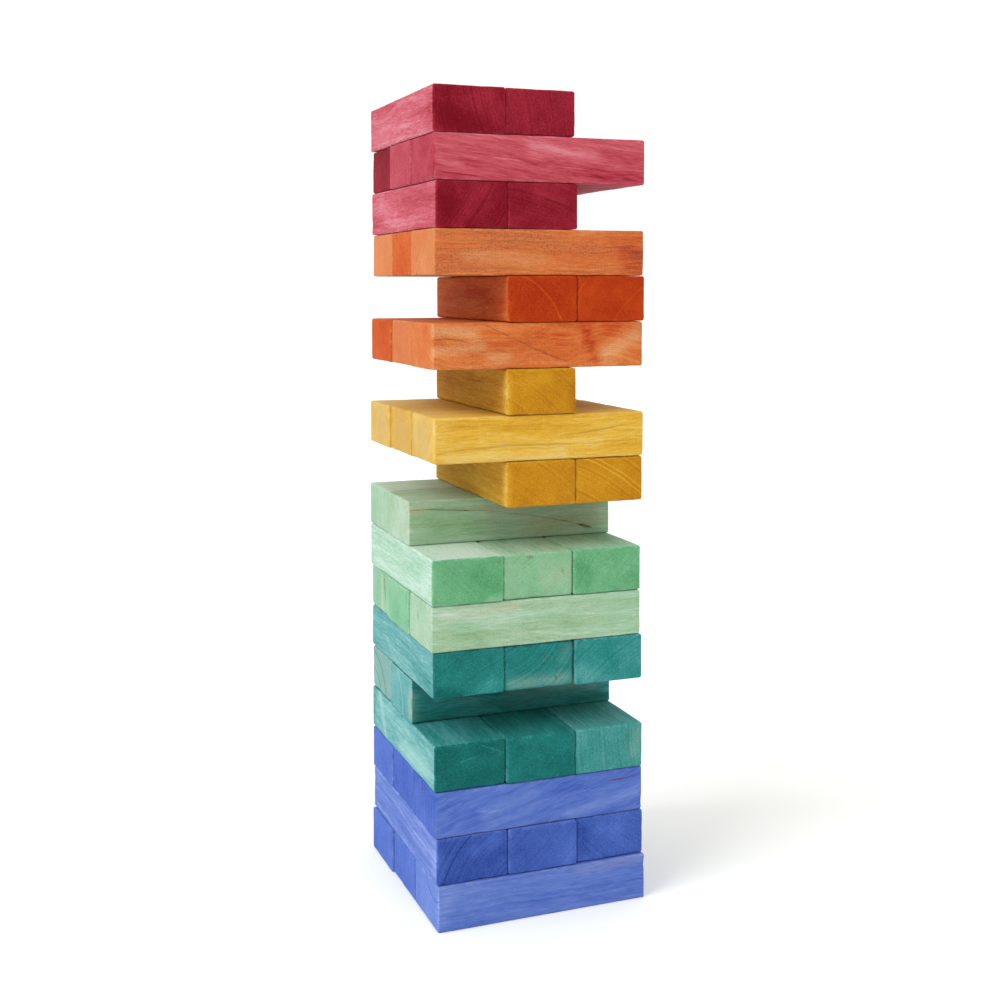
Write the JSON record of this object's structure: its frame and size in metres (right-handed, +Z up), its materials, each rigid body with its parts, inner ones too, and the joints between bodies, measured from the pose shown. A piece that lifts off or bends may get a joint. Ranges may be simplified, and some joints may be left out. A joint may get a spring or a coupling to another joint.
{
  "type": "giant tumbling tower",
  "caption": "Tall square tower of loose, dyed wooden blocks with eased edges, each layer laid across the one below and some blocks already drawn out; every block slides out along its length.",
  "frame": {"origin": "on the ground, at the middle of the tower's footprint", "axes": "+Z up; +X along the blocks of the odd layers, +Y along the blocks of the even layers, with the front at -Y"},
  "size_m": [0.1847, 0.1842, 0.6614],
  "materials": {
    "blue_dyed_wood": "sanded, dyed and unvarnished, with the grain showing",
    "teal_dyed_wood": "sanded, dyed and unvarnished, with the grain showing",
    "mint_dyed_wood": "sanded, dyed and unvarnished, with the grain showing",
    "yellow_dyed_wood": "sanded, dyed and unvarnished, with the grain showing",
    "orange_dyed_wood": "sanded, dyed and unvarnished, with the grain showing",
    "crimson_dyed_wood": "sanded, dyed and unvarnished, with the grain showing"
  },
  "bodies": {
    "layer_01_front_block": {"layer_01_front_block": "blue_dyed_wood"},
    "layer_01_middle_block": {"layer_01_middle_block": "blue_dyed_wood"},
    "layer_01_back_block": {"layer_01_back_block": "blue_dyed_wood"},
    "layer_02_left_block": {"layer_02_left_block": "blue_dyed_wood"},
    "layer_02_middle_block": {"layer_02_middle_block": "blue_dyed_wood"},
    "layer_02_right_block": {"layer_02_right_block": "blue_dyed_wood"},
    "layer_03_front_block": {"layer_03_front_block": "blue_dyed_wood"},
    "layer_03_middle_block": {"layer_03_middle_block": "blue_dyed_wood"},
    "layer_03_back_block": {"layer_03_back_block": "blue_dyed_wood"},
    "layer_04_left_block": {"layer_04_left_block": "teal_dyed_wood"},
    "layer_04_middle_block": {"layer_04_middle_block": "teal_dyed_wood"},
    "layer_04_right_block": {"layer_04_right_block": "teal_dyed_wood"},
    "layer_05_middle_block": {"layer_05_middle_block": "teal_dyed_wood"},
    "layer_05_back_block": {"layer_05_back_block": "teal_dyed_wood"},
    "layer_06_left_block": {"layer_06_left_block": "teal_dyed_wood"},
    "layer_06_middle_block": {"layer_06_middle_block": "teal_dyed_wood"},
    "layer_06_right_block": {"layer_06_right_block": "teal_dyed_wood"},
    "layer_07_front_block": {"layer_07_front_block": "mint_dyed_wood"},
    "layer_07_middle_block": {"layer_07_middle_block": "mint_dyed_wood"},
    "layer_07_back_block": {"layer_07_back_block": "mint_dyed_wood"},
    "layer_08_left_block": {"layer_08_left_block": "mint_dyed_wood"},
    "layer_08_middle_block": {"layer_08_middle_block": "mint_dyed_wood"},
    "layer_08_right_block": {"layer_08_right_block": "mint_dyed_wood"},
    "layer_09_middle_block": {"layer_09_middle_block": "mint_dyed_wood"},
    "layer_09_back_block": {"layer_09_back_block": "mint_dyed_wood"},
    "layer_10_middle_block": {"layer_10_middle_block": "yellow_dyed_wood"},
    "layer_10_right_block": {"layer_10_right_block": "yellow_dyed_wood"},
    "layer_11_front_block": {"layer_11_front_block": "yellow_dyed_wood"},
    "layer_11_middle_block": {"layer_11_middle_block": "yellow_dyed_wood"},
    "layer_11_back_block": {"layer_11_back_block": "yellow_dyed_wood"},
    "layer_12_middle_block": {"layer_12_middle_block": "yellow_dyed_wood"},
    "layer_13_front_block": {"layer_13_front_block": "orange_dyed_wood"},
    "layer_13_middle_block": {"layer_13_middle_block": "orange_dyed_wood"},
    "layer_13_back_block": {"layer_13_back_block": "orange_dyed_wood"},
    "layer_14_middle_block": {"layer_14_middle_block": "orange_dyed_wood"},
    "layer_14_right_block": {"layer_14_right_block": "orange_dyed_wood"},
    "layer_15_front_block": {"layer_15_front_block": "orange_dyed_wood"},
    "layer_15_middle_block": {"layer_15_middle_block": "orange_dyed_wood"},
    "layer_15_back_block": {"layer_15_back_block": "orange_dyed_wood"},
    "layer_16_left_block": {"layer_16_left_block": "crimson_dyed_wood"},
    "layer_16_middle_block": {"layer_16_middle_block": "crimson_dyed_wood"},
    "layer_17_front_block": {"layer_17_front_block": "crimson_dyed_wood"},
    "layer_17_middle_block": {"layer_17_middle_block": "crimson_dyed_wood"},
    "layer_17_back_block": {"layer_17_back_block": "crimson_dyed_wood"},
    "layer_18_left_block": {"layer_18_left_block": "crimson_dyed_wood"},
    "layer_18_middle_block": {"layer_18_middle_block": "crimson_dyed_wood"}
  },
  "joints": [
    {"name": "layer_01_front_slide", "type": "slide", "parent": "layer_01_middle_block", "child": "layer_01_front_block", "axis": [1, 0.0052, 0], "range_m": [-0.2, 0.2]},
    {"name": "layer_01_back_slide", "type": "slide", "parent": "layer_01_middle_block", "child": "layer_01_back_block", "axis": [1, 0.0052, 0], "range_m": [-0.2, 0.2]},
    {"name": "layer_02_left_slide", "type": "slide", "parent": "layer_01_middle_block", "child": "layer_02_left_block", "axis": [-0.0035, 1, 0], "range_m": [-0.2, 0.2]},
    {"name": "layer_02_middle_slide", "type": "slide", "parent": "layer_01_middle_block", "child": "layer_02_middle_block", "axis": [-0.0035, 1, 0], "range_m": [-0.2, 0.2]},
    {"name": "layer_02_right_slide", "type": "slide", "parent": "layer_01_middle_block", "child": "layer_02_right_block", "axis": [-0.0035, 1, 0], "range_m": [-0.2, 0.2]},
    {"name": "layer_03_front_slide", "type": "slide", "parent": "layer_01_middle_block", "child": "layer_03_front_block", "axis": [1, 0.0035, 0], "range_m": [-0.2, 0.2]},
    {"name": "layer_03_middle_slide", "type": "slide", "parent": "layer_01_middle_block", "child": "layer_03_middle_block", "axis": [1, 0.0035, 0], "range_m": [-0.2, 0.2]},
    {"name": "layer_03_back_slide", "type": "slide", "parent": "layer_01_middle_block", "child": "layer_03_back_block", "axis": [1, 0.0035, 0], "range_m": [-0.2, 0.2]},
    {"name": "layer_04_left_slide", "type": "slide", "parent": "layer_01_middle_block", "child": "layer_04_left_block", "axis": [0, 1, 0], "range_m": [-0.2, 0.2]},
    {"name": "layer_04_middle_slide", "type": "slide", "parent": "layer_01_middle_block", "child": "layer_04_middle_block", "axis": [0, 1, 0], "range_m": [-0.2, 0.2]},
    {"name": "layer_04_right_slide", "type": "slide", "parent": "layer_01_middle_block", "child": "layer_04_right_block", "axis": [0, 1, 0], "range_m": [-0.2, 0.2]},
    {"name": "layer_05_middle_slide", "type": "slide", "parent": "layer_01_middle_block", "child": "layer_05_middle_block", "axis": [1, 0, 0], "range_m": [-0.2, 0.2]},
    {"name": "layer_05_back_slide", "type": "slide", "parent": "layer_01_middle_block", "child": "layer_05_back_block", "axis": [1, 0, 0], "range_m": [-0.2, 0.2]},
    {"name": "layer_06_left_slide", "type": "slide", "parent": "layer_01_middle_block", "child": "layer_06_left_block", "axis": [0.0035, 1, 0], "range_m": [-0.2, 0.2]},
    {"name": "layer_06_middle_slide", "type": "slide", "parent": "layer_01_middle_block", "child": "layer_06_middle_block", "axis": [0.0035, 1, 0], "range_m": [-0.2, 0.2]},
    {"name": "layer_06_right_slide", "type": "slide", "parent": "layer_01_middle_block", "child": "layer_06_right_block", "axis": [0.0035, 1, 0], "range_m": [-0.2, 0.2]},
    {"name": "layer_07_front_slide", "type": "slide", "parent": "layer_01_middle_block", "child": "layer_07_front_block", "axis": [1, -0.007, 0], "range_m": [-0.2, 0.2]},
    {"name": "layer_07_middle_slide", "type": "slide", "parent": "layer_01_middle_block", "child": "layer_07_middle_block", "axis": [1, -0.007, 0], "range_m": [-0.2, 0.2]},
    {"name": "layer_07_back_slide", "type": "slide", "parent": "layer_01_middle_block", "child": "layer_07_back_block", "axis": [1, -0.007, 0], "range_m": [-0.2, 0.2]},
    {"name": "layer_08_left_slide", "type": "slide", "parent": "layer_01_middle_block", "child": "layer_08_left_block", "axis": [0.0017, 1, 0], "range_m": [-0.2, 0.2]},
    {"name": "layer_08_middle_slide", "type": "slide", "parent": "layer_01_middle_block", "child": "layer_08_middle_block", "axis": [0.0017, 1, 0], "range_m": [-0.2, 0.2]},
    {"name": "layer_08_right_slide", "type": "slide", "parent": "layer_01_middle_block", "child": "layer_08_right_block", "axis": [0.0017, 1, 0], "range_m": [-0.2, 0.2]},
    {"name": "layer_09_middle_slide", "type": "slide", "parent": "layer_01_middle_block", "child": "layer_09_middle_block", "axis": [1, -0.0035, 0], "range_m": [-0.2, 0.2]},
    {"name": "layer_09_back_slide", "type": "slide", "parent": "layer_01_middle_block", "child": "layer_09_back_block", "axis": [1, -0.0035, 0], "range_m": [-0.2, 0.2]},
    {"name": "layer_10_middle_slide", "type": "slide", "parent": "layer_01_middle_block", "child": "layer_10_middle_block", "axis": [-0.0017, 1, 0], "range_m": [-0.2, 0.2]},
    {"name": "layer_10_right_slide", "type": "slide", "parent": "layer_01_middle_block", "child": "layer_10_right_block", "axis": [-0.0017, 1, 0], "range_m": [-0.2, 0.2]},
    {"name": "layer_11_front_slide", "type": "slide", "parent": "layer_01_middle_block", "child": "layer_11_front_block", "axis": [1, -0.0035, 0], "range_m": [-0.2, 0.2]},
    {"name": "layer_11_middle_slide", "type": "slide", "parent": "layer_01_middle_block", "child": "layer_11_middle_block", "axis": [1, -0.0035, 0], "range_m": [-0.2, 0.2]},
    {"name": "layer_11_back_slide", "type": "slide", "parent": "layer_01_middle_block", "child": "layer_11_back_block", "axis": [1, -0.0035, 0], "range_m": [-0.2, 0.2]},
    {"name": "layer_12_middle_slide", "type": "slide", "parent": "layer_01_middle_block", "child": "layer_12_middle_block", "axis": [0, 1, 0], "range_m": [-0.2, 0.2]},
    {"name": "layer_13_front_slide", "type": "slide", "parent": "layer_01_middle_block", "child": "layer_13_front_block", "axis": [1, -0.0035, 0], "range_m": [-0.2, 0.2]},
    {"name": "layer_13_middle_slide", "type": "slide", "parent": "layer_01_middle_block", "child": "layer_13_middle_block", "axis": [1, -0.0035, 0], "range_m": [-0.2, 0.2]},
    {"name": "layer_13_back_slide", "type": "slide", "parent": "layer_01_middle_block", "child": "layer_13_back_block", "axis": [1, -0.0035, 0], "range_m": [-0.2, 0.2]},
    {"name": "layer_14_middle_slide", "type": "slide", "parent": "layer_01_middle_block", "child": "layer_14_middle_block", "axis": [-0.0017, 1, 0], "range_m": [-0.2, 0.2]},
    {"name": "layer_14_right_slide", "type": "slide", "parent": "layer_01_middle_block", "child": "layer_14_right_block", "axis": [-0.0017, 1, 0], "range_m": [-0.2, 0.2]},
    {"name": "layer_15_front_slide", "type": "slide", "parent": "layer_01_middle_block", "child": "layer_15_front_block", "axis": [1, 0.0035, 0], "range_m": [-0.2, 0.2]},
    {"name": "layer_15_middle_slide", "type": "slide", "parent": "layer_01_middle_block", "child": "layer_15_middle_block", "axis": [1, 0.0035, 0], "range_m": [-0.2, 0.2]},
    {"name": "layer_15_back_slide", "type": "slide", "parent": "layer_01_middle_block", "child": "layer_15_back_block", "axis": [1, 0.0035, 0], "range_m": [-0.2, 0.2]},
    {"name": "layer_16_left_slide", "type": "slide", "parent": "layer_01_middle_block", "child": "layer_16_left_block", "axis": [-0.007, 1, 0], "range_m": [-0.2, 0.2]},
    {"name": "layer_16_middle_slide", "type": "slide", "parent": "layer_01_middle_block", "child": "layer_16_middle_block", "axis": [-0.007, 1, 0], "range_m": [-0.2, 0.2]},
    {"name": "layer_17_front_slide", "type": "slide", "parent": "layer_01_middle_block", "child": "layer_17_front_block", "axis": [1, 0.0017, 0], "range_m": [-0.2, 0.2]},
    {"name": "layer_17_middle_slide", "type": "slide", "parent": "layer_01_middle_block", "child": "layer_17_middle_block", "axis": [1, 0.0017, 0], "range_m": [-0.2, 0.2]},
    {"name": "layer_17_back_slide", "type": "slide", "parent": "layer_01_middle_block", "child": "layer_17_back_block", "axis": [1, 0.0017, 0], "range_m": [-0.2, 0.2]},
    {"name": "layer_18_left_lift", "type": "slide", "parent": "layer_01_middle_block", "child": "layer_18_left_block", "axis": [0, 0, 1], "range_m": [0, 0.25]},
    {"name": "layer_18_middle_lift", "type": "slide", "parent": "layer_01_middle_block", "child": "layer_18_middle_block", "axis": [0, 0, 1], "range_m": [0, 0.25]}
  ]
}
